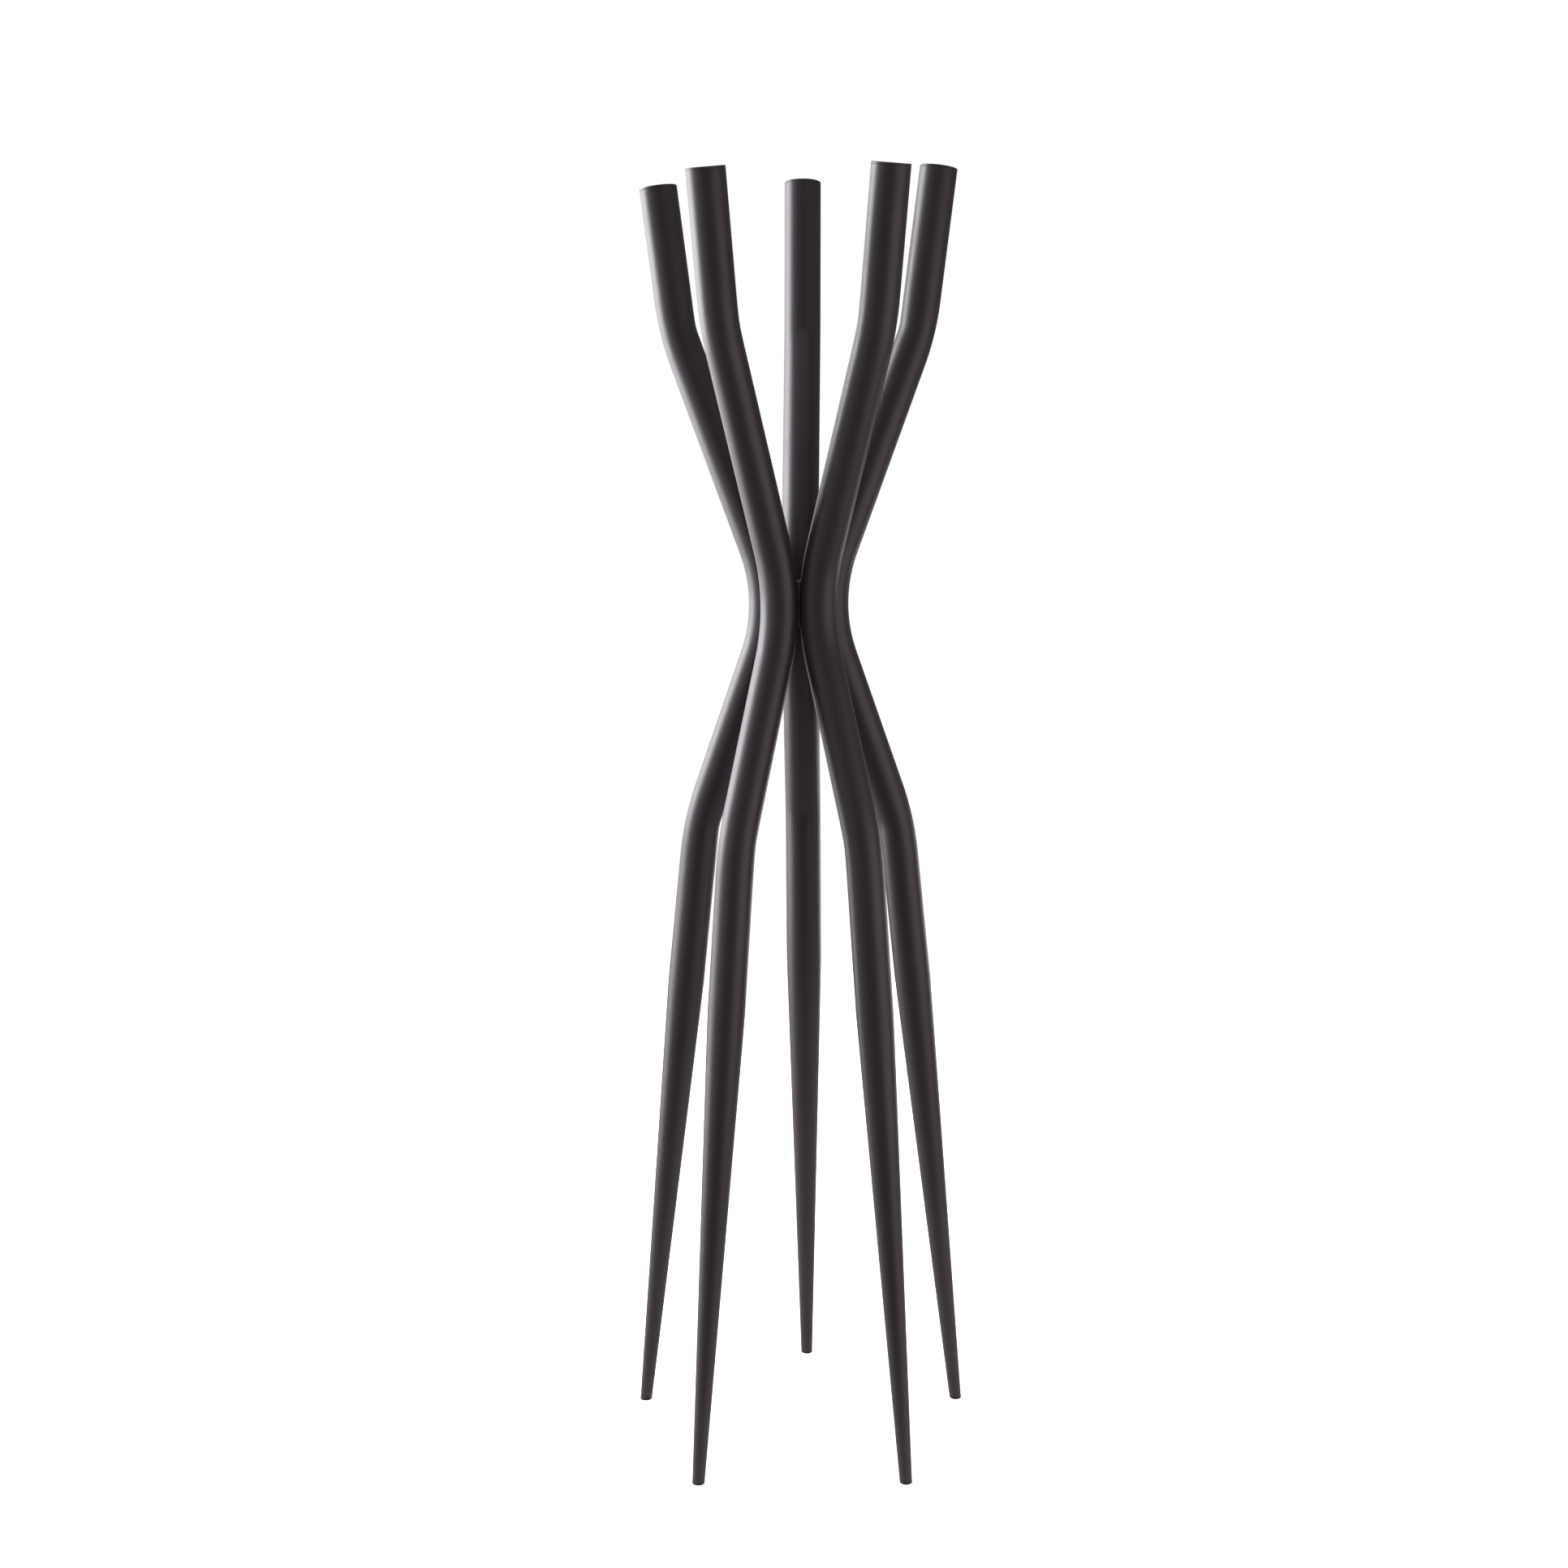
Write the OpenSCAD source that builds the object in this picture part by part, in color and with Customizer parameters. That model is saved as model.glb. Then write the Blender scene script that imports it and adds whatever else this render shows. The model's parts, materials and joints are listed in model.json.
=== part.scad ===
// Free-standing coat stand: five bent and tapered steel tubes round one hidden hub.
// Millimetres, +Z up. The origin is on the floor, on the stand's vertical axis.
// The front pair of legs faces -Y and the rear leg stands on +Y.

/* [Stand] */
// Nominal height of the arm ends above the floor
stand_h = 1750; // [1450:1:2100]
// Height of the upright arms, from the elbow bends to the ends
arm_h = 202; // [120:1:260]
// Height from the waist, where the legs come together, to the elbow bends
rise_h = 365; // [290:1:440]
// Height from the knee bends to the waist
thigh_h = 311; // [250:1:380]

/* [Lean from the vertical, in degrees] */
// Foot to knee, leaning in
shin_lean = 6.3; // [3:0.1:10]
// Knee to waist, leaning in
thigh_lean = 20.1; // [15:0.1:24]
// Waist to elbow, spreading out
rise_lean = 21.2; // [15:0.1:24]
// Elbow to arm end, spreading out
arm_lean = 7.6; // [3:0.1:12]

/* [Bend radii on the tube's centre line] */
// Knee bend
knee_bend = 400; // [250:5:500]
// Waist bend
waist_bend = 212; // [180:1:260]
// Elbow bend
elbow_bend = 340; // [250:5:450]

/* [Tube] */
// Outside diameter of the tube
tube_d = 50.8; // [44:0.1:56]
// Wall thickness
tube_wall = 1.5; // [1.2:0.1:2.5]
// Outside diameter at the floor, where the taper ends
foot_d = 17; // [15:0.5:26]
// How far below the knee bend the taper starts
taper_drop = 232; // [120:1:400]
// Smallest gap between neighbouring tubes at the waist
waist_gap = 0.4; // [0.2:0.1:4]

/* [Small differences between the legs] */
// How far each arm ends above or below the nominal height: front left, front right, right, rear, left
arm_trim = [-7, -3, 14, 8, -11]; // [-20:1:20]
// How far each leg is turned from its even fifth of the circle, in degrees
leg_turn = [0, 0, 0, -2.5, 0]; // [-3:0.1:3]

/* [End caps] */
// Thickness of the cap's plate
cap_t = 3; // [2:0.5:6]
// Depth of the spigot inside the tube
cap_spigot = 12; // [8:1:25]
// Wall of the spigot
cap_wall = 2; // [1.5:0.1:4]

/* [Foot glides] */
// Height of the glide between the floor and the tube
glide_h = 3; // [2:0.5:6]
// Length of the plug inside the tube
glide_plug = 24; // [15:1:40]

/* [Hub] */
// Height of the hub
hub_h = 60; // [52:1:70]
// How far the hub's five points stop short of the narrowest place between two tubes
hub_tip = 2.3; // [1.5:0.1:6]
// Height of the studs above and below the hub's middle
stud_offset = 15; // [12:0.5:17]

/* [Fasteners] */
// Diameter of the studs
stud_d = 8; // [6:1:8]
// Diameter of the grub screws
grub_d = 6; // [4:1:6]
// Width across the grub screw's hexagon socket
socket_af = 3; // [1.5:0.5:3]
// Outside diameter of the threaded bushes
bush_d = 14; // [12:0.5:15]
// Length of the threaded bushes
bush_len = 13; // [10:0.5:16]

/* [Hidden] */
$fn = 144;
LEG_NAMES = ["front_left", "front_right", "right", "rear", "left"];
LEG_ANGLES = [-36, 36, 108, 180, 252];
ENDS = ["upper", "lower"];

// Clearances
saddle_clear = 0.2; // hub saddle to tube
press_clear = 0.05; // bush in its tube hole, cap spigot and glide plug in the tube
thread_clear = 0.05; // stud and grub screw in their threads
bore_clear = 0.1; // stud in the hub's plain bore
seat_clear = 0.3; // bush end to the floor of its spot face
seam = 0.05; // cap plate to the tube's end, grub screw's point to its dimple

// Every run and bend of tube stops a seam short of the next, under a bead too shallow to see
bead_rise = 0.1;
bead_half = 2;

edge = 0.8; // chamfer on the caps, glides and studs
over = 1; // how far a cutting shape passes the face that it cuts

charcoal = [0.20, 0.18, 0.185];
casting = [0.34, 0.34, 0.35];
zinc = [0.72, 0.73, 0.74];
black_nylon = [0.06, 0.06, 0.065];

tube_r = tube_d / 2;
bore_r = tube_r - tube_wall;
foot_r = foot_d / 2;
// Tube centre line at the waist: five tubes in a ring, the closest two of them waist_gap apart
leg_spacing = [for (i = [0:4]) 72 + leg_turn[(i + 1) % 5] - leg_turn[i]];
waist_r = (tube_d + waist_gap) / 2 / sin(min(leg_spacing) / 2);
hub_reach = waist_r * cos(36) - hub_tip;

elbow_z = stand_h - arm_h;
waist_z = elbow_z - rise_h;
knee_z = waist_z - thigh_h;
taper_z = knee_z - taper_drop;

// Corners of the leg's centre line before bending, as [distance from the axis, height]
waist_corner_r = waist_r - waist_bend * (1 / cos((thigh_lean + rise_lean) / 2) - 1);
knee_r = waist_corner_r + (waist_z - knee_z) * tan(thigh_lean);
spread_r = knee_r + knee_z * tan(shin_lean);
elbow_r = waist_corner_r + (elbow_z - waist_z) * tan(rise_lean);
FOOT = [spread_r, 0];
KNEE = [knee_r, knee_z];
WAIST = [waist_corner_r, waist_z];
ELBOW = [elbow_r, elbow_z];

// A direction in the leg's plane, from its lean towards the outside
function along(lean) = [sin(lean), cos(lean)];
// How far a bend's ends lie from its corner
function setback(radius, lean_in, lean_out) = radius * tan(abs(lean_out - lean_in) / 2);

knee_back = setback(knee_bend, -shin_lean, -thigh_lean);
waist_back = setback(waist_bend, -thigh_lean, rise_lean);
elbow_back = setback(elbow_bend, rise_lean, arm_lean);

// Places a leg's own plane: its local +X points away from the stand's axis
module on_leg(i) {
    rotate([0, 0, LEG_ANGLES[i] - 90 + leg_turn[i]])
        children();
}

// Puts local +Z along the given lean, starting at a point of the leg's plane
module leaning(point, lean) {
    translate([point[0], 0, point[1]])
        rotate([0, lean, 0])
            children();
}

// Puts local +X at a point of the leg's plane, as a cylinder's own axis
module radial(r, z) {
    translate([r, 0, z])
        rotate([0, 90, 0])
            children();
}

// A straight run of tube
module run_tube(point, lean, length) {
    leaning(point + seam * along(lean), lean)
        difference() {
            cylinder(h = length - 2 * seam, r = tube_r);
            translate([0, 0, -over])
                cylinder(h = length - 2 * seam + 2 * over, r = bore_r);
        }
}

// A bend at a corner of the centre line, with its section's outer radius and bore (0 for a solid bar)
module bend(corner, radius, lean_in, lean_out, r_out = tube_r, r_in = bore_r) {
    turn = lean_out - lean_in;
    side = sign(turn);
    start = corner - setback(radius, lean_in, lean_out) * along(lean_in);
    centre = start + side * radius * [cos(lean_in), -sin(lean_in)];
    seam_turn = atan(seam / radius);
    first = side > 0 ? 180 - lean_out : -lean_in;
    translate([centre[0], 0, centre[1]])
        rotate([90, 0, 0])
            rotate([0, 0, first + seam_turn])
                rotate_extrude(angle = abs(turn) - 2 * seam_turn)
                    translate([radius, 0])
                        difference() {
                            circle(r = r_out);
                            if (r_in > 0)
                                circle(r = r_in);
                        }
}

// The bead over the seam between two pieces of tube
module bead(point, lean) {
    leaning(point, lean)
        rotate_extrude()
            polygon([
                [tube_r - bead_rise, -bead_half],
                [tube_r + bead_rise, 0],
                [tube_r - bead_rise, bead_half],
                [bore_r + bead_rise, bead_half],
                [bore_r - bead_rise, 0],
                [bore_r + bead_rise, -bead_half]
            ]);
}

// A bend of tube with a bead at either end
module bent_tube(corner, radius, lean_in, lean_out) {
    back = setback(radius, lean_in, lean_out);
    bend(corner, radius, lean_in, lean_out);
    bead(corner - back * along(lean_in), lean_in);
    bead(corner + back * along(lean_out), lean_out);
}

// The tapered run, with its foot end `past` below the floor
module taper() {
    length = taper_z / cos(shin_lean);
    slope = (tube_r - foot_r) / length;
    past = 5;
    leaning(FOOT - past * along(-shin_lean), -shin_lean)
        difference() {
            cylinder(
                h = past + length - seam,
                r1 = foot_r - past * slope,
                r2 = tube_r - seam * slope
            );
            translate([0, 0, -over])
                cylinder(
                    h = past + length - seam + 2 * over,
                    r1 = foot_r - tube_wall - (past + over) * slope,
                    r2 = bore_r + (over - seam) * slope
                );
        }
}

// The underside of the cap's plate: its upper face reaches the arm's own height
function cap_seat(i) = ELBOW
    + ((stand_h + arm_trim[i] - elbow_z) / cos(arm_lean) - cap_t) * along(arm_lean);

module leg(i) {
    taper_top = FOOT + taper_z / cos(shin_lean) * along(-shin_lean);
    arm_start = ELBOW + elbow_back * along(arm_lean);
    color(charcoal)
        on_leg(i)
            difference() {
                union() {
                    taper();
                    bead(taper_top, -shin_lean);
                    run_tube(taper_top, -shin_lean, norm(KNEE - taper_top) - knee_back);
                    bent_tube(KNEE, knee_bend, -shin_lean, -thigh_lean);
                    run_tube(KNEE + knee_back * along(-thigh_lean), -thigh_lean,
                        norm(WAIST - KNEE) - knee_back - waist_back);
                    bent_tube(WAIST, waist_bend, -thigh_lean, rise_lean);
                    run_tube(WAIST + waist_back * along(rise_lean), rise_lean,
                        norm(ELBOW - WAIST) - waist_back - elbow_back);
                    bent_tube(ELBOW, elbow_bend, rise_lean, arm_lean);
                    run_tube(arm_start, arm_lean, norm(cap_seat(i) - arm_start));
                }
                // Cut level, parallel to the floor, where the glide sits
                translate([spread_r - foot_d, -foot_d, -foot_d])
                    cube([2 * foot_d, 2 * foot_d, foot_d + glide_h]);
                // Holes for the bushes, in the wall that faces the hub
                for (side = [1, -1])
                    radial(waist_r - tube_r - over, waist_z + side * stud_offset)
                        cylinder(h = tube_r, r = bush_d / 2 + press_clear);
            }
}

module top_cap(i) {
    color(charcoal)
        on_leg(i)
            leaning(cap_seat(i), arm_lean) {
                rotate_extrude()
                    polygon([
                        [0, 0],
                        [tube_r, 0],
                        [tube_r, cap_t - edge],
                        [tube_r - edge, cap_t],
                        [0, cap_t]
                    ]);
                translate([0, 0, -cap_spigot])
                    difference() {
                        cylinder(h = cap_spigot, r = bore_r - press_clear);
                        translate([0, 0, -over])
                            cylinder(h = cap_spigot + over, r = bore_r - press_clear - cap_wall);
                    }
            }
}

module foot_glide(i) {
    plug_r = foot_r - tube_wall - press_clear;
    color(black_nylon)
        on_leg(i)
            union() {
                translate([FOOT[0], 0, 0])
                    rotate_extrude()
                        polygon([
                            [0, 0],
                            [foot_r - edge, 0],
                            [foot_r, edge],
                            [foot_r, glide_h],
                            [0, glide_h]
                        ]);
                // Plug, from half-way up the base
                leaning(FOOT + glide_h / 2 * along(-shin_lean), -shin_lean)
                    cylinder(h = glide_h / 2 + glide_plug, r = plug_r);
            }
}

// The stud's axis, and where its parts start and end along it
bush_proud = 1; // the bush stands this far out of the tube, into its spot face
stud_short = 1; // the stud stops this far inside the bush's far end
stud_start = waist_r / 5;
bush_start = waist_r - tube_r - bush_proud;
stud_end = bush_start + bush_len - stud_short;

// The grub screw, from its point in the stud's dimple to just under the hub's face
grub_r = grub_d / 2;
grub_at = (stud_start + bush_start) / 2;
grub_sunk = 0.5;
point_r = grub_r / 3;
point_h = grub_r - point_r;
dimple = 1.2;
grub_len = hub_h / 2 - grub_sunk - stud_offset - stud_d / 2 + dimple;

module at_stud(i, side) {
    on_leg(i)
        translate([0, 0, waist_z])
            mirror([0, 0, side < 0 ? 1 : 0])
                translate([0, 0, stud_offset])
                    children();
}

module hub() {
    color(casting)
        difference() {
            translate([0, 0, waist_z - hub_h / 2])
                cylinder(h = hub_h, r = hub_reach);
            for (i = [0:4])
                on_leg(i)
                    bend(WAIST, waist_bend, -thigh_lean, rise_lean, tube_r + saddle_clear, 0);
            for (i = [0:4], side = [1, -1])
                at_stud(i, side) {
                    // Bore for the stud
                    radial(stud_start - seat_clear, 0)
                        cylinder(h = tube_r, r = stud_d / 2 + bore_clear);
                    // Spot face for the bush
                    radial(bush_start - seat_clear, 0)
                        cylinder(h = tube_r, r = bush_d / 2 + bore_clear);
                    // Threaded hole for the grub screw
                    translate([grub_at, 0, 0])
                        cylinder(h = hub_h, r = grub_r + thread_clear);
                }
        }
}

module bush(i, side) {
    color(zinc)
        at_stud(i, side)
            radial(bush_start, 0)
                difference() {
                    cylinder(h = bush_len, r = bush_d / 2);
                    translate([0, 0, -over])
                        cylinder(h = bush_len + 2 * over, r = stud_d / 2 + thread_clear);
                }
}

module stud(i, side) {
    length = stud_end - stud_start;
    color(zinc)
        at_stud(i, side)
            difference() {
                radial(stud_start, 0)
                    rotate_extrude()
                        polygon([
                            [0, 0],
                            [stud_d / 2 - edge, 0],
                            [stud_d / 2, edge],
                            [stud_d / 2, length - edge],
                            [stud_d / 2 - edge, length],
                            [0, length]
                        ]);
                // Dimple for the grub screw's point
                translate([grub_at, 0, stud_d / 2 - dimple])
                    cylinder(h = 2 * dimple, r1 = point_r + seam, r2 = point_r + seam + 2 * dimple);
            }
}

module grub_screw(i, side) {
    socket = grub_len / 2;
    color(zinc)
        at_stud(i, side)
            translate([grub_at, 0, stud_d / 2 - dimple + seam])
                difference() {
                    union() {
                        cylinder(h = point_h, r1 = point_r, r2 = grub_r);
                        translate([0, 0, point_h])
                            cylinder(h = grub_len - point_h, r = grub_r);
                    }
                    translate([0, 0, grub_len - socket])
                        cylinder(h = socket + over, r = socket_af / sqrt(3), $fn = 6);
                }
}

hub();
for (i = [0:4]) {
    leg(i);
    top_cap(i);
    foot_glide(i);
    for (k = [0:1]) {
        place = str(LEG_NAMES[i], "_", ENDS[k]);
        side = 1 - 2 * k;
        bush(i, side);
        stud(i, side);
        grub_screw(i, side);
    }
}
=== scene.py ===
# %% [markdown]
# # A coat stand of five bent tubes
#
# The stand is five steel tubes in a ring. Each one rises from a thin foot, leans in to a narrow waist and
# spreads again into an upright arm. A small casting at the waist holds them together. In this lesson the
# frame gives the main sizes and places, numpy works out the surfaces, and shader nodes give the finishes.

# %% Load the frame
import json
import math

import bmesh
import bpy
import numpy as np
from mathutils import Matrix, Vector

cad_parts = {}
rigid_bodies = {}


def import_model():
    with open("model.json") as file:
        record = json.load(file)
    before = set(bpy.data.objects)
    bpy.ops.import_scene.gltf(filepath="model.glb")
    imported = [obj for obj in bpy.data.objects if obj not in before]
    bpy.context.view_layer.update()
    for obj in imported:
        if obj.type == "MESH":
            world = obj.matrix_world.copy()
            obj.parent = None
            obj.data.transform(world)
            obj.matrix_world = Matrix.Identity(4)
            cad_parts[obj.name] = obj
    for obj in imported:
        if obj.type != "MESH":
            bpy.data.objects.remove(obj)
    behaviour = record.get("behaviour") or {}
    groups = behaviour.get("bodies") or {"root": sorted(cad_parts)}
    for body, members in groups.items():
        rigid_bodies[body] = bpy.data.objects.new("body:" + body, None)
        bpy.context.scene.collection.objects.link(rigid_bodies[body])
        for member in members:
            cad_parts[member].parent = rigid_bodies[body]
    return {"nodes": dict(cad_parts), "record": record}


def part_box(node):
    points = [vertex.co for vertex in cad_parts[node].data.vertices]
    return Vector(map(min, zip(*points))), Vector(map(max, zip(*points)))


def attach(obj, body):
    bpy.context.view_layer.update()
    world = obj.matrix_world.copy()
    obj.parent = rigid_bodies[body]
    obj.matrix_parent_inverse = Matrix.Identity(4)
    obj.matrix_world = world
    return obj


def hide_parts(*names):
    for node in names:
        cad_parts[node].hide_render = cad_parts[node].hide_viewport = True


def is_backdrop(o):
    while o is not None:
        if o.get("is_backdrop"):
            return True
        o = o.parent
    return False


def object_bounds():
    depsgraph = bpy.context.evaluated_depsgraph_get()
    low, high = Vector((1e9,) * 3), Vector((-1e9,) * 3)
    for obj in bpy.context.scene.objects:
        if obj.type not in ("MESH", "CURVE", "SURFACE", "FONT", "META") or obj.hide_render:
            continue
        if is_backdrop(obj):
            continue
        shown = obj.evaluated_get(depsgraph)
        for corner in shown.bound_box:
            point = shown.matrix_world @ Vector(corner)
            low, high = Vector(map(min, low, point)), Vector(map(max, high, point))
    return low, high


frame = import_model()
cad_box = [list(corner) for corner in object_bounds()]
record = frame["record"]
MM = 0.001
print("nodes in the frame:", len(frame["nodes"]))
print("its box in metres:", [[round(v, 4) for v in corner] for corner in cad_box])

# %% [markdown]
# ## The camera
#
# The camera comes first. It stands about three metres in front of the stand, a little below a standing
# person's eyes, and looks slightly down. A lens of about 50 mm on a 36 mm sensor keeps the tubes' lean
# natural: a wider lens would splay the front arms. Three angles and a place are all it needs, so no target
# object and no constraint is used.

# %% Camera
CAMERA_PLACE = (-0.019, -3.073, 1.438)
CAMERA_DOWN = 9.34
CAMERA_ROLL = 0.23
CAMERA_LENS = 51.8

camera = bpy.data.objects.new("camera", bpy.data.cameras.new("camera"))
bpy.context.collection.objects.link(camera)
camera.data.sensor_width = 36
camera.data.lens = CAMERA_LENS
camera.location = CAMERA_PLACE
camera.rotation_euler = [math.radians(a) for a in (90 - CAMERA_DOWN, CAMERA_ROLL, 0)]
bpy.context.scene.camera = camera
print("camera height", CAMERA_PLACE[2], "m, lens", round(camera.data.lens, 1), "mm")

# %% [markdown]
# ## The sizes of one tube
#
# All five tubes are bent alike, so one set of sizes serves them all: four straight runs, each with its own
# lean from the vertical, and three bends between them. The frame's record says where each foot stands and
# the boxes of the hub and caps say how high the waist and the arm ends are. The rest follows from the leans.
# All of it could be typed in, but sizes read from the frame can't drift away from it.

# %% Sizes of a tube
LEGS = ["front_left", "front_right", "right", "rear", "left"]
TUBE_R = 25.4 * MM
WALL = 1.5 * MM
FOOT_R = 8.5 * MM
GLIDE_H = 3 * MM
CAP_T = 3 * MM
# The frame's caps are chamfered by this much, and each seats this far off its tube
CAP_EDGE = 0.8 * MM
SEAM = 0.05 * MM

# Leans from the vertical, outwards positive, from the foot up
SHIN, THIGH, RISE, ARM = np.radians([-6.3, -20.1, 21.2, 7.6])
# Centre-line radii of the bends
KNEE_BEND, WAIST_BEND, ELBOW_BEND = 0.400, 0.212, 0.340
# Heights of the thigh and the rise, and how far below the knee the taper starts
THIGH_H, RISE_H, TAPER_DROP = 0.311, 0.365, 0.232

mounts = {m["name"]: np.array(m["pos_m"]) for m in record["mounts"]}
hub_low, hub_high = (np.array(c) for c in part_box("hub"))
waist_z = (hub_low[2] + hub_high[2]) / 2
knee_z = waist_z - THIGH_H
elbow_z = waist_z + RISE_H
foot_r = np.linalg.norm(mounts["front_left_foot"])
knee_r = foot_r + knee_z * math.tan(SHIN)
waist_r = knee_r + THIGH_H * math.tan(THIGH)
elbow_r = waist_r + RISE_H * math.tan(RISE)
print("waist, knee and elbow heights:", *(round(z, 4) for z in (waist_z, knee_z, elbow_z)))


def outward(leg):
    """The level direction from the stand's axis to a leg's foot."""
    foot = mounts[leg + "_foot"]
    return foot / np.linalg.norm(foot)


def arm_end_z(leg):
    """Height of the middle of an arm's end. The cap's upper rim leans, and stands higher than its middle."""
    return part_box(leg + "_top_cap")[1][2] - (TUBE_R - CAP_EDGE) * math.sin(ARM)


for leg in LEGS:
    print(f"{leg}: arm end at {arm_end_z(leg):.4f} m")

# %% [markdown]
# ## Straights and arcs
#
# A tube bender feeds the tube straight, turns it round a former, and feeds it straight again. The centre line
# is built in the same order, from pieces of known length whose lean stays the same or changes evenly. The sum
# of the direction (sin lean, cos lean) along a piece has an exact formula, so no step is approximated. A
# Bezier curve could follow nearly the same path, but its bends would not be true arcs.

# %% Straights and arcs
RUN_RINGS = 24
BEND_RINGS = 41


def setback(radius, lean_in, lean_out):
    """Distance from a corner to either end of its bend: radius times the tangent of half the turn."""
    return radius * math.tan(abs(lean_out - lean_in) / 2)


def piece(start, length, lean_in, lean_out, count):
    """Points and leans along one piece of centre line.

    Straight: start + t L (sin a, cos a).
    Bent by d: start + L/d (cos a - cos(a + t d), sin(a + t d) - sin a).
    """
    t = np.linspace(0, 1, count)
    turn = lean_out - lean_in
    lean = lean_in + t * turn
    if turn == 0:
        step = t[:, None] * length * np.array([math.sin(lean_in), math.cos(lean_in)])
    else:
        step = length / turn * np.stack(
            [math.cos(lean_in) - np.cos(lean), np.sin(lean) - math.sin(lean_in)], axis=1
        )
    return start + step, lean


print("knee, waist and elbow turn by", *np.degrees(np.abs(np.diff([SHIN, THIGH, RISE, ARM]))).round(1))

# %% [markdown]
# ## Flattened bends
#
# A thin tube flattens a little on the inside of a bend, where the former presses it. The knee and the elbow
# show it: their inner side turns in a much shorter arc than their outer side. The tube's outline could be
# sculpted there by hand, but the gap between a wide arc and a tight one says exactly how deep it goes.

# %% Flattened bends
INNER_BEND = 80 * MM


def flattening(distance, radius, turn):
    """How far a bend's inner side sinks in, at a distance along the tube from the bend's middle.

    An arc of radius R leaves its straight lines by (T - |s|)^2 / 2R, where T = R tan(turn / 2) is where it
    starts. A round bend's inner side follows the wide arc, and this one the tight arc: the depth is their gap
    at the same distance.
    """
    half = math.tan(abs(turn) / 2)
    inner = radius - TUBE_R
    s = np.abs(distance) * inner / radius
    wide = np.clip(inner * half - s, 0, None) ** 2 / (2 * inner)
    tight = np.clip(INNER_BEND * half - s, 0, None) ** 2 / (2 * INNER_BEND)
    return wide - tight


print("depth in mid-knee:", round(float(flattening(0, KNEE_BEND, THIGH - SHIN)) / MM, 2), "mm")

# %% [markdown]
# ## The centre line
#
# Four straight runs and three bends now follow each other from the floor to the arm's end. Each straight run
# gives up the setbacks of its bends. The line could stop where the glide starts, but from the floor up its
# corners are the same plain heights that the frame gives.

# %% Centre line
def centre_line(end_z):
    """Points (distance from the axis, height), leans, distances along and flattening, floor to arm end."""
    corners = [(foot_r, 0.0), (knee_r, knee_z), (waist_r, waist_z), (elbow_r, elbow_z)]
    leans = [SHIN, THIGH, RISE, ARM]
    bends = [KNEE_BEND, WAIST_BEND, ELBOW_BEND]
    arm = (end_z - elbow_z) / math.cos(ARM) - CAP_T - SEAM
    corners.append((elbow_r + arm * math.sin(ARM), elbow_z + arm * math.cos(ARM)))
    corners = np.array(corners)
    backs = [0] + [setback(r, a, b) for r, a, b in zip(bends, leans, leans[1:])] + [0]
    at, points, tilt, middles = corners[0], [], [], []
    for i, lean in enumerate(leans):
        run = np.linalg.norm(corners[i + 1] - corners[i]) - backs[i] - backs[i + 1]
        p, a = piece(at, run, lean, lean, RUN_RINGS)
        points.append(p[:-1])
        tilt.append(a[:-1])
        at = p[-1]
        if i < len(bends):
            arc_length = bends[i] * abs(leans[i + 1] - lean)
            p, a = piece(at, arc_length, lean, leans[i + 1], BEND_RINGS)
            middles.append(sum(len(t) for t in tilt) + BEND_RINGS // 2)
            points.append(p[:-1])
            tilt.append(a[:-1])
            at = p[-1]
    points.append(at[None])
    tilt.append(np.array([ARM]))
    points, tilt = np.concatenate(points), np.concatenate(tilt)
    along = np.concatenate([[0], np.cumsum(np.linalg.norm(np.diff(points, axis=0), axis=1))])
    knee, elbow = along[middles[0]], along[middles[2]]
    at_knee = flattening(along - knee, KNEE_BEND, THIGH - SHIN)
    at_elbow = flattening(along - elbow, ELBOW_BEND, ARM - RISE)
    return points, tilt, along, at_knee + at_elbow


*_, line_along, line_flat = centre_line(arm_end_z("right"))
print("stations:", len(line_along), "tube length:", round(line_along[-1], 4), "m")
print("deepest flattening:", round(line_flat.max() / MM, 2), "mm")

# %% [markdown]
# ## From arrays to a mesh
#
# A tube's surface is a grid of points whose two directions both close on themselves, like a ring's. One
# helper joins each point to its neighbours, and another writes the arrays straight into the mesh, which is
# much quicker than adding faces one at a time. The volume under the faces is positive only if they face
# outwards, so the helper measures it and turns the faces round if it isn't.

# %% Mesh helpers
def volume(points, quads):
    """Volume of a closed mesh of quads: the sum over its triangles of a . (b x c) / 6."""
    a, b, c, d = (points[quads[:, k]] for k in range(4))
    first = np.einsum("ij,ij->i", a, np.cross(b, c))
    second = np.einsum("ij,ij->i", a, np.cross(c, d))
    return float((first + second).sum() / 6)


def grid_quads(rows, columns):
    """Quads of a grid that closes on itself both ways: each point with its next row and next column."""
    i, j = np.meshgrid(np.arange(rows), np.arange(columns), indexing="ij")
    k, m = (i + 1) % rows, (j + 1) % columns
    corners = [i * columns + j, i * columns + m, k * columns + m, k * columns + j]
    return np.stack(corners, axis=-1).reshape(-1, 4)


def mesh_object(name, points, quads, sharp):
    """An object at the origin with these points and quads, smooth but for edges sharper than an angle."""
    if volume(points, quads) < 0:
        quads = quads[:, ::-1]
    mesh = bpy.data.meshes.new(name)
    mesh.vertices.add(len(points))
    mesh.vertices.foreach_set("co", points.astype(np.float32).ravel())
    mesh.loops.add(quads.size)
    mesh.loops.foreach_set("vertex_index", quads.astype(np.int32).ravel())
    mesh.polygons.add(len(quads))
    mesh.polygons.foreach_set("loop_start", np.arange(0, quads.size, 4, dtype=np.int32))
    mesh.polygons.foreach_set("use_smooth", np.ones(len(quads), dtype=bool))
    mesh.update(calc_edges=True)
    mesh.validate()
    mesh.set_sharp_from_angle(angle=math.radians(sharp))
    thing = bpy.data.objects.new(name, mesh)
    bpy.context.collection.objects.link(thing)
    return thing


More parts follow.
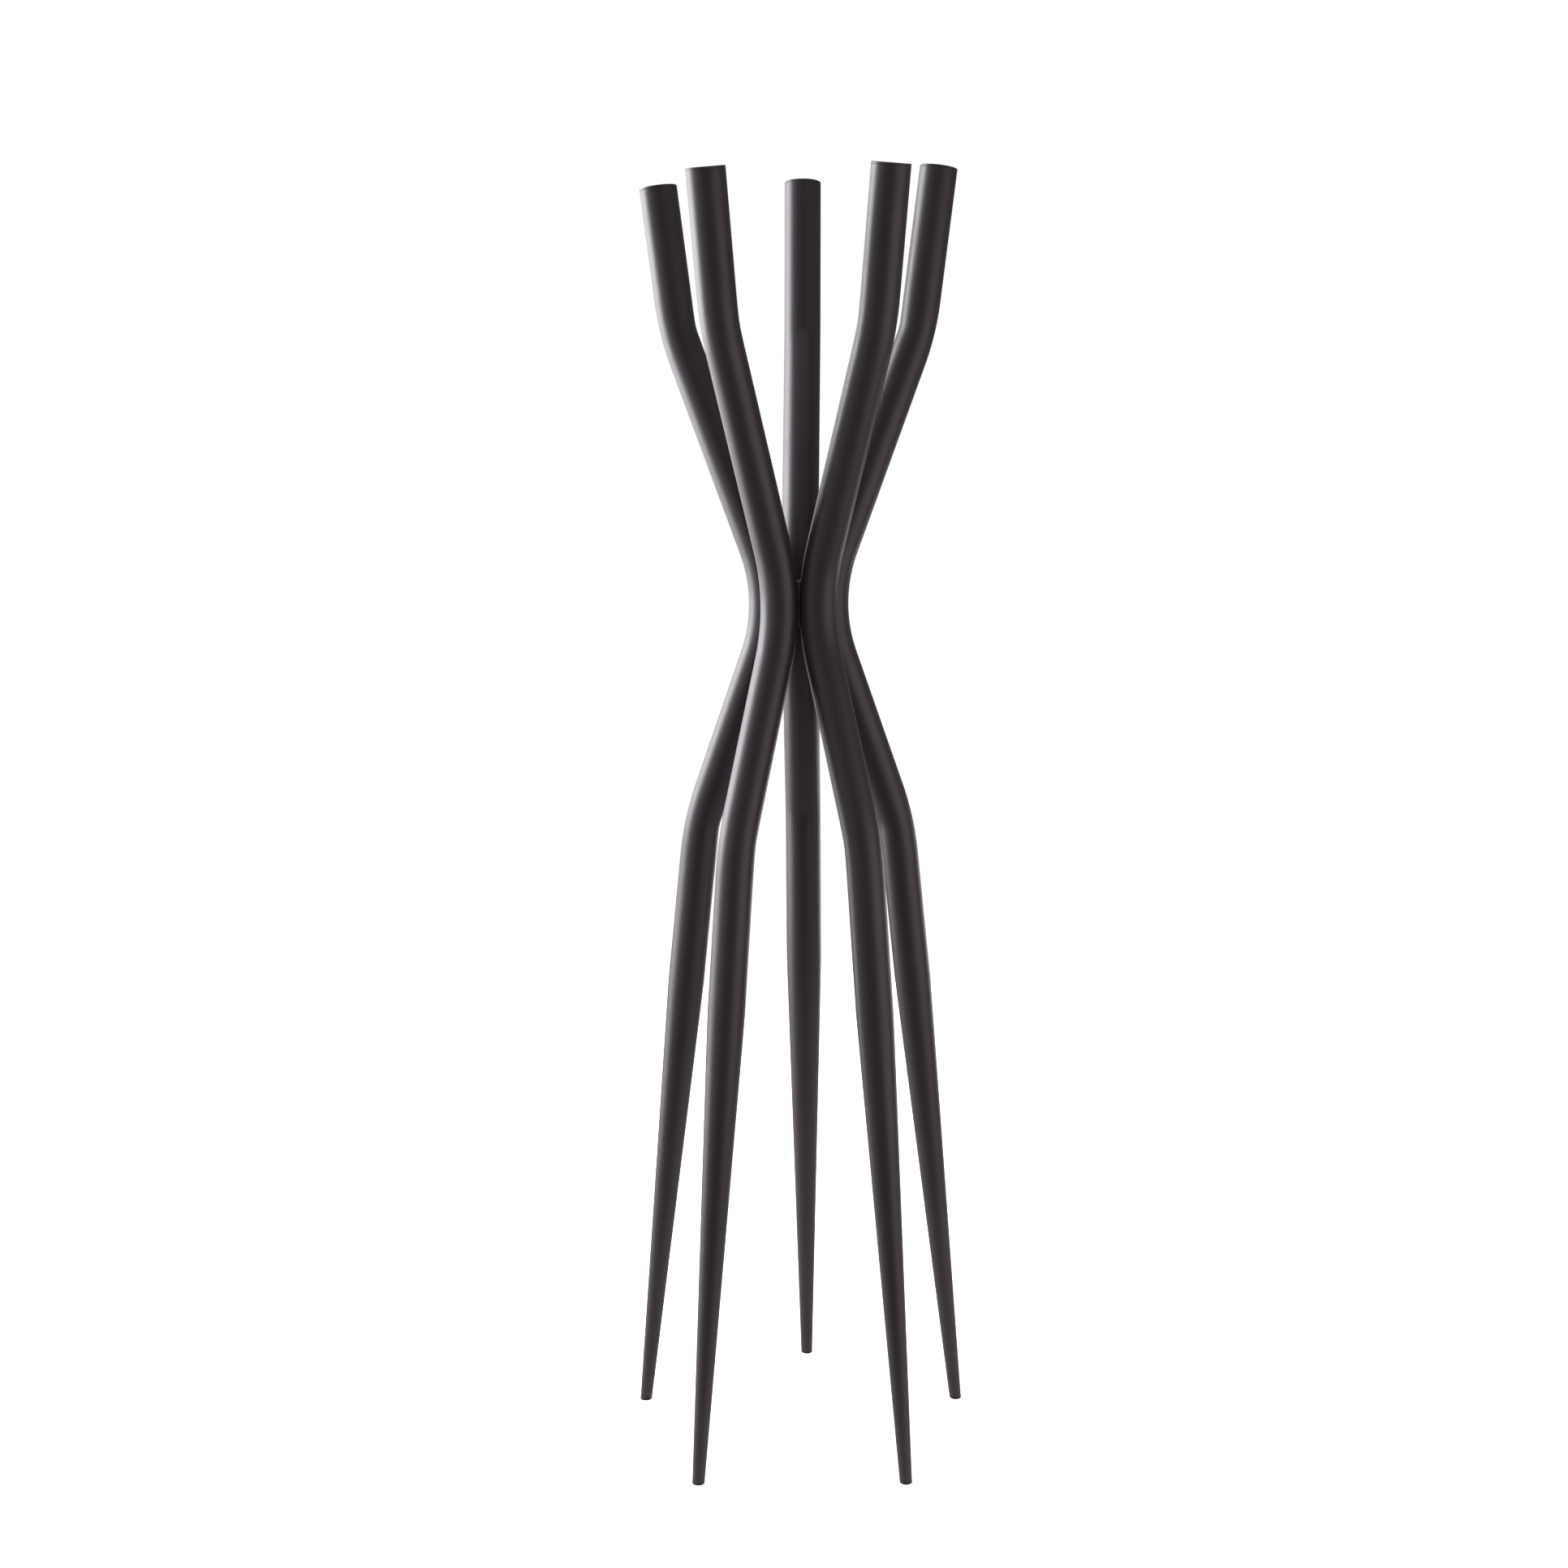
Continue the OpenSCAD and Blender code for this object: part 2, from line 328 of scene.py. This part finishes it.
print("faces of a closed grid, 3 by 4:", len(grid_quads(3, 4)))

# %% [markdown]
# ## Rings round the centre line
#
# A tube's wall is made of rings round the centre line. Below the knee the rings shrink evenly to the foot,
# as on a swaged tube. A curve object with a bevel would be shorter to write, but it has no wall, no level
# cut and no flattened bends.

# %% Rings
ROUND = 96
taper_length = (knee_z - TAPER_DROP) / math.cos(SHIN)


def tube_radius(along):
    """Outside radius at a distance along the tube: even growth over the taper, then constant."""
    grown = np.clip(along / taper_length, 0, 1)
    return FOOT_R + (TUBE_R - FOOT_R) * grown


def tube_rings(away, line, lean, flat, radius, shift=0.0):
    """Rings of points: centre + shift T + (r cos f + flattening) N + r sin f B.

    T runs along the centre line, N is across it in the leg's own plane, and B is level and square to that
    plane. The flattening fades from the side that faces the stand's axis to the outer side.
    """
    rise = np.array([0, 0, 1.0])
    level = np.cross(rise, away)
    f = np.linspace(0, 2 * math.pi, ROUND, endpoint=False)
    facing_axis = ((1 - np.cos(f)) / 2) ** 2
    sine, cosine = np.sin(lean)[:, None], np.cos(lean)[:, None]
    tangent = sine * away + cosine * rise
    across = cosine * away - sine * rise
    centre = line[:, 0, None] * away + line[:, 1, None] * rise + shift * tangent
    reach = radius[:, None] * np.cos(f) + flat[:, None] * facing_axis
    sideways = radius[:, None] * np.sin(f)
    return centre[:, None] + reach[:, :, None] * across[:, None] + sideways[:, :, None] * level


print("taper length:", round(taper_length, 4), "m")

# %% [markdown]
# ## One tube's skin
#
# The tube is one skin of steel with an outside, an inside and two cut ends. A profile goes up the outside,
# over the top end, down the inside and under the foot end. The foot is cut level with the floor so that its
# glide sits flat, and every cut edge gets a small break. Solidify could give the wall, but not the level cut.

# %% Tube surface
CUT_EDGE = 0.25 * MM


def level_cut(first, second, z):
    """Where the lines from first to second, or those lines made longer, reach a height."""
    t = (z - first[:, 2]) / (second[:, 2] - first[:, 2])
    return first + t[:, None] * (second - first)


def tube_surface(leg):
    """Grid of points (profile x round) for a tube: outside, top end, inside and foot end, ring by ring."""
    line, lean, along, flat = centre_line(arm_end_z(leg))
    out_r = tube_radius(along)
    away = outward(leg)
    outside = tube_rings(away, line, lean, flat, out_r)
    inside = tube_rings(away, line, lean, flat, out_r - WALL)[::-1]

    end = (away, line[-1:], lean[-1:], flat[-1:])
    end_r = out_r[-1:]
    outside[-1] = tube_rings(*end, end_r, -CUT_EDGE)[0]
    inside[0] = tube_rings(*end, end_r - WALL, -CUT_EDGE)[0]
    top_out = tube_rings(*end, end_r - CUT_EDGE)
    top_in = tube_rings(*end, end_r - WALL + CUT_EDGE)

    cut_out = level_cut(outside[0], outside[1], GLIDE_H)
    cut_in = level_cut(inside[-1], inside[-2], GLIDE_H)
    outside[0] = level_cut(outside[0], outside[1], GLIDE_H + CUT_EDGE)
    inside[-1] = level_cut(inside[-1], inside[-2], GLIDE_H + CUT_EDGE)
    mid = (cut_out + cut_in) / 2
    half_wall = np.linalg.norm(cut_out - mid, axis=1)[:, None]
    foot_out = mid + (cut_out - mid) * (1 - CUT_EDGE / half_wall)
    foot_in = mid + (cut_in - mid) * (1 - CUT_EDGE / half_wall)
    return np.concatenate([outside, top_out, top_in, inside, foot_in[None], foot_out[None]])


print("rings in a tube's skin:", len(tube_surface("rear")))

# %% [markdown]
# ## The five tubes
#
# Each tube is the same surface turned to its own leg's direction, with an arm as long as that leg's. Copies
# of one mesh could be turned round the axis, but the arms' lengths differ by a few millimetres.

# %% Five tubes
TUBE_SHARP = 30
tubes = {}
for leg in LEGS:
    grid = tube_surface(leg)
    quads = grid_quads(*grid.shape[:2])
    tubes[leg] = mesh_object(leg + "_tube", grid.reshape(-1, 3), quads, TUBE_SHARP)
    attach(tubes[leg], "root")
    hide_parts(leg + "_leg")
print("points in one tube:", len(tubes["rear"].data.vertices))

# %% [markdown]
# ## Turned pieces
#
# Caps, glides and drills are shapes that a lathe would make: a profile of radius and height, carried round an
# axis. Blender's Spin or Screw could do it too, but a function keeps the profile as plain numbers and puts a
# single point at each pole, so nothing needs merging afterwards.

# %% Turned pieces
TURN = 96
TURNED_SHARP = 35


def arc(centre, radius, start, stop, steps):
    """Points on an arc of a profile: centre + radius (cos a, sin a), a in degrees."""
    a = np.radians(np.linspace(start, stop, steps))
    return np.stack([centre[0] + radius * np.cos(a), centre[1] + radius * np.sin(a)], axis=1)


def turned(name, profile, origin, axis, side):
    """A profile of (radius, height) points carried round: origin + r (cos f S + sin f T) + h axis.

    The first and last points lie on the axis, and each becomes one point with a fan of triangles.
    """
    axis = np.array(axis) / np.linalg.norm(axis)
    other = np.cross(axis, side)
    f = np.linspace(0, 2 * math.pi, TURN, endpoint=False)
    body = profile[1:-1]
    rings = (
        np.array(origin)
        + body[:, 0, None, None] * (np.cos(f)[:, None] * side + np.sin(f)[:, None] * other)
        + body[:, 1, None, None] * axis
    )
    rows = len(body)
    poles = np.array(origin) + profile[[0, -1], 1, None] * axis
    points = np.concatenate([rings.reshape(-1, 3), poles])
    i, j = np.meshgrid(np.arange(rows - 1), np.arange(TURN), indexing="ij")
    m = (j + 1) % TURN
    low_row, high_row = i * TURN, (i + 1) * TURN
    quads = np.stack([low_row + j, low_row + m, high_row + m, high_row + j], axis=-1)
    j = np.arange(TURN)
    m = (j + 1) % TURN
    first, last = rows * TURN, rows * TURN + 1
    low = np.stack([m, j, np.full(TURN, first)], axis=1)
    high = np.stack([(rows - 1) * TURN + j, (rows - 1) * TURN + m, np.full(TURN, last)], axis=1)
    faces = quads.reshape(-1, 4).tolist() + low.tolist() + high.tolist()
    mesh = bpy.data.meshes.new(name)
    mesh.from_pydata(points.tolist(), [], faces)
    mesh.polygons.foreach_set("use_smooth", np.ones(len(mesh.polygons), dtype=bool))
    mesh.update()
    mesh.set_sharp_from_angle(angle=math.radians(TURNED_SHARP))
    thing = bpy.data.objects.new(name, mesh)
    bpy.context.collection.objects.link(thing)
    return thing


print("points round a turned piece:", TURN)

# %% [markdown]
# ## Holes for the bushes
#
# Two threaded bushes are brazed into each tube's inner wall at the waist, and they need round holes. A drill
# is made where each bush is, and a Boolean takes it away from the tube. The exact solver leaves the tube
# closed, and the count of open edges proves it. The result is kept as a plain mesh, so the drills can go.

# %% Bush holes
BORE_R = 7.05 * MM
DRILL_START = 2 * MM


def cut(thing, cutter):
    """Takes one closed piece away from another, and marks the sharp edges again."""
    step = thing.modifiers.new("bore", "BOOLEAN")
    step.operation = "DIFFERENCE"
    step.solver = "EXACT"
    step.object = cutter
    whole = thing.data
    now = bpy.context.evaluated_depsgraph_get()
    thing.data = bpy.data.meshes.new_from_object(thing.evaluated_get(now))
    thing.modifiers.clear()
    bpy.data.meshes.remove(whole)
    bpy.data.objects.remove(cutter)
    thing.data.set_sharp_from_angle(angle=math.radians(TUBE_SHARP))


def open_edges(thing):
    """How many edges don't have exactly two faces."""
    shape = bmesh.new()
    shape.from_mesh(thing.data)
    count = sum(not edge.is_manifold for edge in shape.edges)
    shape.free()
    return count


drill_profile = np.array([[0, 0], [BORE_R, 0], [BORE_R, TUBE_R], [0, TUBE_R]])
for leg in LEGS:
    away = outward(leg)
    for end in ("upper", "lower"):
        low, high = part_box(f"{leg}_{end}_bush")
        start = (waist_r - TUBE_R - DRILL_START) * away + np.array([0, 0, (low[2] + high[2]) / 2])
        cut(tubes[leg], turned("drill", drill_profile, start, away, np.array([0, 0, 1.0])))
    print(leg, "faces:", len(tubes[leg].data.polygons), "open edges:", open_edges(tubes[leg]))

# %% [markdown]
# ## Top caps
#
# A cap closes each arm with a flat plate whose rim is eased by a millimetre. Small breaks where cap and tube
# meet leave the thin line that a pressed-in cap has. A hollow spigot holds the cap in the tube, and its lower
# edge is chamfered so that it starts easily. Cylinders with a Bevel modifier could give the same shape, but
# one turned profile draws plate, rim and spigot as a single closed piece.

# %% Top caps
SPIGOT = 12 * MM
SPIGOT_WALL = 2 * MM
PRESS = 0.05 * MM
RIM = 1.0 * MM
LEAD_IN = 0.5 * MM
SMALL_BREAK = 0.3 * MM
RIM_POINTS = 8
spigot_r = TUBE_R - WALL - PRESS
cap_profile = np.concatenate([
    [[0, 0], [spigot_r - SPIGOT_WALL, 0], [spigot_r - SPIGOT_WALL, -SPIGOT]],
    [[spigot_r - LEAD_IN, -SPIGOT], [spigot_r, -SPIGOT + LEAD_IN], [spigot_r, 0]],
    [[TUBE_R - SMALL_BREAK, 0], [TUBE_R, SMALL_BREAK]],
    arc((TUBE_R - RIM, CAP_T - RIM), RIM, 0, 90, RIM_POINTS),
    [[0, CAP_T]],
])
for leg in LEGS:
    away = outward(leg)
    lean = np.array([0, 0, math.cos(ARM)]) + math.sin(ARM) * away
    seat_z = arm_end_z(leg) - CAP_T * math.cos(ARM)
    seat_r = elbow_r + (seat_z - elbow_z) * math.tan(ARM)
    seat = seat_r * away + [0, 0, seat_z]
    cap = turned(leg + "_cap", cap_profile, seat, lean, np.cross([0, 0, 1], away))
    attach(cap, "root")
    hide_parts(leg + "_top_cap")
print("cap profile points:", len(cap_profile))

# %% [markdown]
# ## Foot glides
#
# A glide is a nylon disc that keeps the tube's cut end off the floor, with a plug inside the tube. The disc
# lies level and the plug leans with the tube, so they are two turned shapes that overlap inside the foot. A
# Boolean could join them, but the overlap is out of sight and two clean shapes are easier to check.

# %% Foot glides
PLUG = 24 * MM
GLIDE_EDGE = 1.2 * MM
GLIDE_BREAK = 0.2 * MM
PLUG_TIP = 1 * MM
EDGE_POINTS = 7
plug_r = FOOT_R - WALL - PRESS
plug_end = GLIDE_H / 2 + PLUG
glide_profile = np.concatenate([
    [[0, 0]],
    arc((FOOT_R - GLIDE_EDGE, GLIDE_EDGE), GLIDE_EDGE, -90, 0, EDGE_POINTS),
    [[FOOT_R, GLIDE_H - GLIDE_BREAK], [FOOT_R - GLIDE_BREAK, GLIDE_H], [0, GLIDE_H]],
])
plug_profile = np.array([
    [0, 0], [plug_r, 0], [plug_r, plug_end - PLUG_TIP], [plug_r - PLUG_TIP, plug_end], [0, plug_end],
])
for leg in LEGS:
    away = outward(leg)
    foot = mounts[leg + "_foot"]
    lean = np.array([0, 0, math.cos(SHIN)]) + math.sin(SHIN) * away
    plug_start = foot + GLIDE_H / 2 * lean
    disc = turned(leg + "_glide", glide_profile, foot, [0, 0, 1], away)
    plug = turned(leg + "_glide_plug", plug_profile, plug_start, lean, np.cross([0, 0, 1], away))
    for part in (disc, plug):
        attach(part, "root")
    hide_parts(leg + "_foot_glide")
print("glide edge radius:", round(GLIDE_EDGE / MM, 1), "mm")

# %% [markdown]
# ## Helpers for the finishes
#
# Every finish here is built from the same few steps: noise over the piece, mapped to a colour, to a roughness
# or to a small height. The noise reads Object coordinates in metres, so its scale is simply how many features
# fit in a metre, and the same finish looks alike on a tube and on a screw. Generated coordinates would be
# stretched to each piece's box instead.

# %% Node helpers
NOISE_LOW, NOISE_HIGH = 0.3, 0.7


def material(name):
    """A new material and its nodes, links and main shader."""
    made = bpy.data.materials.new(name)
    made.use_nodes = True
    tree = made.node_tree
    return made, tree.nodes, tree.links, tree.nodes["Principled BSDF"]


def noise(nodes, links, scale, detail, rough=0.5):
    """Noise over the piece in metres: scale is features to a metre."""
    place = nodes.new("ShaderNodeTexCoord")
    grain = nodes.new("ShaderNodeTexNoise")
    grain.inputs["Scale"].default_value = scale
    grain.inputs["Detail"].default_value = detail
    grain.inputs["Roughness"].default_value = rough
    links.new(place.outputs["Object"], grain.inputs["Vector"])
    return grain.outputs["Fac"]


def spread(nodes, links, value, low, high):
    """Maps a noise's middle range, where nearly all of it lies, to low..high."""
    step = nodes.new("ShaderNodeMapRange")
    step.inputs["From Min"].default_value = NOISE_LOW
    step.inputs["From Max"].default_value = NOISE_HIGH
    step.inputs["To Min"].default_value = low
    step.inputs["To Max"].default_value = high
    links.new(value, step.inputs["Value"])
    return step.outputs["Result"]


def two_tone(nodes, links, value, dark, light):
    """A colour between two, chosen by a noise's middle range."""
    ramp = nodes.new("ShaderNodeValToRGB")
    ramp.color_ramp.elements[0].position = NOISE_LOW
    ramp.color_ramp.elements[1].position = NOISE_HIGH
    ramp.color_ramp.elements[0].color = (*dark, 1)
    ramp.color_ramp.elements[1].color = (*light, 1)
    links.new(value, ramp.inputs["Fac"])
    return ramp.outputs["Color"]


def bump(nodes, links, height, distance, strength, under=None):
    """Bump of a height pattern times a distance in metres, laid over another bump if one is given."""
    step = nodes.new("ShaderNodeBump")
    step.inputs["Distance"].default_value = distance
    step.inputs["Strength"].default_value = strength
    links.new(height, step.inputs["Height"])
    if under is not None:
        links.new(under, step.inputs["Normal"])
    return step.outputs["Normal"]


def put_on(links, shader, colour, roughness, normal):
    """Joins a finish's three patterns to its shader."""
    links.new(colour, shader.inputs["Base Color"])
    links.new(roughness, shader.inputs["Roughness"])
    links.new(normal, shader.inputs["Normal"])


print("a noise is used from", NOISE_LOW, "to", NOISE_HIGH)

# %% [markdown]
# ## Powder coat
#
# Powder coat is melted paint dust. It flows out almost smooth, so it is satin: a broad soft highlight, with a
# very fine orange peel that only a close look shows. Two noises do that work, one for the peel and a finer
# one for the grain. Slower noises shift the charcoal and the gloss a little, as an oven does. A picture of
# real paint could be used too, but noise has no seams and needs no unwrapping.

# %% Powder coat
COAT_DARK = (0.036, 0.027, 0.034)
COAT_LIGHT = (0.041, 0.031, 0.038)
coat, nodes, links, shader = material("charcoal_powder_coat")
shader.inputs["IOR"].default_value = 1.5
tone = two_tone(nodes, links, noise(nodes, links, scale=9, detail=2), COAT_DARK, COAT_LIGHT)
gloss = spread(nodes, links, noise(nodes, links, scale=35, detail=3), low=0.40, high=0.44)
coarse = noise(nodes, links, scale=700, detail=2)
peel = bump(nodes, links, coarse, distance=0.01 * MM, strength=0.4)
fine = noise(nodes, links, scale=2400, detail=3, rough=0.6)
grain = bump(nodes, links, fine, distance=0.004 * MM, strength=0.4, under=peel)
put_on(links, shader, tone, gloss, grain)
print("finish:", coat.name)

# %% [markdown]
# ## Nylon
#
# The glides are moulded nylon, dull and nearly black. A fine bump stands for the spark-eroded mould, which is
# what makes such a surface look soft rather than shiny. One high roughness could do it at this distance, but
# the bump still holds up close.

# %% Nylon
NYLON_DARK = (0.010, 0.010, 0.011)
NYLON_LIGHT = (0.016, 0.016, 0.017)
nylon, nodes, links, shader = material("black_nylon")
tone = two_tone(nodes, links, noise(nodes, links, scale=60, detail=2), NYLON_DARK, NYLON_LIGHT)
gloss = spread(nodes, links, noise(nodes, links, scale=300, detail=2), low=0.5, high=0.62)
fine = noise(nodes, links, scale=1800, detail=3)
grain = bump(nodes, links, fine, distance=0.02 * MM, strength=0.6)
put_on(links, shader, tone, gloss, grain)
print("finish:", nylon.name)

# %% [markdown]
# ## Cast aluminium
#
# The hub is a sand casting that was blasted and left bare, and it sits in the dark between the tubes. Its
# colour is kept darker than bare aluminium, which paints in the shade of the narrow slit where it shows. Its
# skin has two sizes of roughness: the sand's own grain, and slow waves where the mould gave way. Real
# displacement would show in its outline too, but the tubes hide the outline, so a bump is enough.

# %% Cast aluminium
# Both tones are darker than bare aluminium: painted shade for the slit between the tubes. The noise between
# them is the casting's own uneven tone.
CAST_SHADED_DARK = (0.15, 0.148, 0.15)
CAST_SHADED_LIGHT = (0.24, 0.236, 0.24)
cast, nodes, links, shader = material("cast_aluminium")
shader.inputs["Metallic"].default_value = 1.0
tone = two_tone(nodes, links, noise(nodes, links, scale=120, detail=4), CAST_SHADED_DARK, CAST_SHADED_LIGHT)
gloss = spread(nodes, links, noise(nodes, links, scale=200, detail=3), low=0.48, high=0.62)
fine = noise(nodes, links, scale=900, detail=4, rough=0.6)
sand = bump(nodes, links, fine, distance=0.1 * MM, strength=0.6)
slow = noise(nodes, links, scale=180, detail=2)
waves = bump(nodes, links, slow, distance=0.2 * MM, strength=0.3, under=sand)
put_on(links, shader, tone, gloss, waves)
print("finish:", cast.name)

# %% [markdown]
# ## Zinc plate
#
# Bushes, studs and grub screws are steel with a thin bright zinc plate. It is a metal with a cool, slightly
# patchy shine, so its roughness changes more than its colour does. A plain mirror metal would be simpler, but
# plated steel never looks that even.

# %% Zinc plate
ZINC_DARK = (0.62, 0.64, 0.66)
ZINC_LIGHT = (0.74, 0.75, 0.76)
zinc, nodes, links, shader = material("bright_zinc_plate")
shader.inputs["Metallic"].default_value = 1.0
tone = two_tone(nodes, links, noise(nodes, links, scale=400, detail=3), ZINC_DARK, ZINC_LIGHT)
gloss = spread(nodes, links, noise(nodes, links, scale=700, detail=3), low=0.24, high=0.38)
fine = noise(nodes, links, scale=3000, detail=2)
grain = bump(nodes, links, fine, distance=0.01 * MM, strength=0.4)
put_on(links, shader, tone, gloss, grain)
print("finish:", zinc.name)

# %% [markdown]
# ## Which piece gets which finish
#
# A piece's name says what it is, so one function can choose its finish. The hub and the fasteners are the
# frame's own nodes, and they get their finish here too, in place of the plain colour they arrive with.

# %% Put the finishes on
def finish_of(name):
    """The material for a piece or node, by what it is."""
    if "glide" in name:
        return nylon
    if name == "hub":
        return cast
    if name.endswith(("_tube", "_cap", "_leg")):
        return coat
    return zinc


for thing in bpy.data.objects:
    if thing.type == "MESH":
        thing.data.materials.clear()
        thing.data.materials.append(finish_of(thing.name))

# %% [markdown]
# ## The floor
#
# The floor is a pale light table, as studios use under dark furniture, so the stand's shadows stay faint. A
# table lit from below could be built from lamps under glass, but one emissive plane looks the same. It is
# hidden from reflections, or it would veil the lower legs.

# %% Floor
SIDE = 30.0
PALE = (0.9, 0.9, 0.9, 1)
TABLE_GLOW = 0.9
floor_corners = [(-SIDE, -SIDE, 0), (SIDE, -SIDE, 0), (SIDE, SIDE, 0), (-SIDE, SIDE, 0)]
floor_mesh = bpy.data.meshes.new("floor")
floor_mesh.from_pydata(floor_corners, [], [(0, 1, 2, 3)])
floor = bpy.data.objects.new("floor", floor_mesh)
bpy.context.collection.objects.link(floor)
pale, nodes, links, shader = material("pale_floor")
shader.inputs["Base Color"].default_value = PALE
shader.inputs["Roughness"].default_value = 0.9
shader.inputs["Specular IOR Level"].default_value = 0.0
shader.inputs["Emission Color"].default_value = (1, 1, 1, 1)
shader.inputs["Emission Strength"].default_value = TABLE_GLOW
floor.data.materials.append(pale)
floor.visible_glossy = False
floor.visible_diffuse = False
floor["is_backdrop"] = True
print("floor side:", 2 * SIDE, "m")

# %% [markdown]
# ## The lights
#
# Three tall soft panels stand at the left, from the side round to the back, so each tube gets one broad
# highlight down its left side and a dark middle. They get dimmer towards the back, because a surface seen
# edge-on reflects more. A weak, warmer panel on the right and one at the front left lift the rest of each
# tube. Low panels, and one that shines up from the floor, do the same for the shins, which lean the other way
# and would otherwise reflect the dark room. The overhead panel is for the caps. A picture of a studio
# wrapped round the scene could light it too, but panels can be placed and tried one at a time.

# %% Lights
def panel(name, place, target, width, height, power, colour):
    """A soft rectangular light at a place, facing a target."""
    light = bpy.data.lights.new(name, "AREA")
    light.shape = "RECTANGLE"
    light.size, light.size_y = width, height
    light.energy = power
    light.color = colour
    lamp = bpy.data.objects.new(name, light)
    bpy.context.collection.objects.link(lamp)
    lamp.location = place
    away = np.array(place) - np.array(target)
    flat = math.hypot(away[0], away[1])
    lamp.rotation_euler = (math.atan2(flat, away[2]), 0, math.atan2(away[0], -away[1]))
    lamp.visible_camera = False


COOL = (0.97, 0.98, 1.0)
BLUSH = (1.0, 0.92, 0.98)
PAPER = (1.0, 0.92, 0.97)

# name, place, target, width, height, power in watts, colour
PANELS = [
    ("key_left", (-2.38, 0.56, 1.85), (0, 0, 1.5), 1.3, 2.3, 113, COOL),
    ("key_back", (-1.93, 1.51, 1.85), (0, 0, 1.5), 0.85, 2.3, 37, COOL),
    ("rim_left", (-1.23, 2.13, 1.6), (0, 0, 1.3), 1.0, 2.8, 18, COOL),
    ("low_left", (-2.1, 0.5, 0.25), (0, 0, 0.4), 1.9, 0.7, 20, (1.0, 0.97, 1.0)),
    ("front_left", (-2.1, -1.8, 1.0), (0, 0, 0.9), 2.0, 2.4, 6, BLUSH),
    ("fill_right", (2.15, -1.3, 0.8), (0, 0, 0.8), 2.5, 2.2, 22, (1.0, 0.86, 0.92)),
    ("low_back", (1.2, 2.0, 0.3), (0, 0, 0.4), 2.4, 0.7, 12, (1.0, 0.93, 0.97)),
    ("paper_glow", (0, 0.35, 0.001), (0, 0.35, 1), 2.4, 1.7, 6.5, PAPER),
    ("overhead", (0, -0.5, 4.0), (0, 0, 0), 3.0, 3.0, 25, (1, 1, 1)),
]
for row in PANELS:
    panel(*row)
print("panels:", len(PANELS))

# %% [markdown]
# ## The room
#
# The room is white where the camera sees it, and dim for everything else, so the background stays clean while
# the tubes keep their dark middles. A white backdrop would look the same, but the tubes would reflect it;
# Light Path tells the camera's own rays apart. The Standard view transform leaves the white as white: a
# filmic one would turn it grey.

# %% Room
ROOM_DIM = 0.16
ROOM_SEEN = 1.0
world = bpy.data.worlds.new("studio")
bpy.context.scene.world = world
world.use_nodes = True
sky = world.node_tree
shade = sky.nodes["Background"]
shade.inputs["Color"].default_value = (1, 1, 1, 1)
rays = sky.nodes.new("ShaderNodeLightPath")
seen = sky.nodes.new("ShaderNodeMapRange")
seen.inputs["To Min"].default_value = ROOM_DIM
seen.inputs["To Max"].default_value = ROOM_SEEN
sky.links.new(rays.outputs["Is Camera Ray"], seen.inputs["Value"])
sky.links.new(seen.outputs["Result"], shade.inputs["Strength"])
bpy.context.scene.view_settings.view_transform = "Standard"
print("room strength:", ROOM_DIM, "and to the camera:", ROOM_SEEN)

# %% [markdown]
# ## Sizes compared
#
# The last step measures the finished model's box and prints its largest difference from the frame's box. They
# should agree to a fraction of a millimetre, because every surface above was worked out from the frame.

# %% Measure and finish
model_box = [list(corner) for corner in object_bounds()]
difference = np.abs(np.array(cad_box) - np.array(model_box)).max()
print("largest difference:", round(float(difference) / MM, 3), "mm")
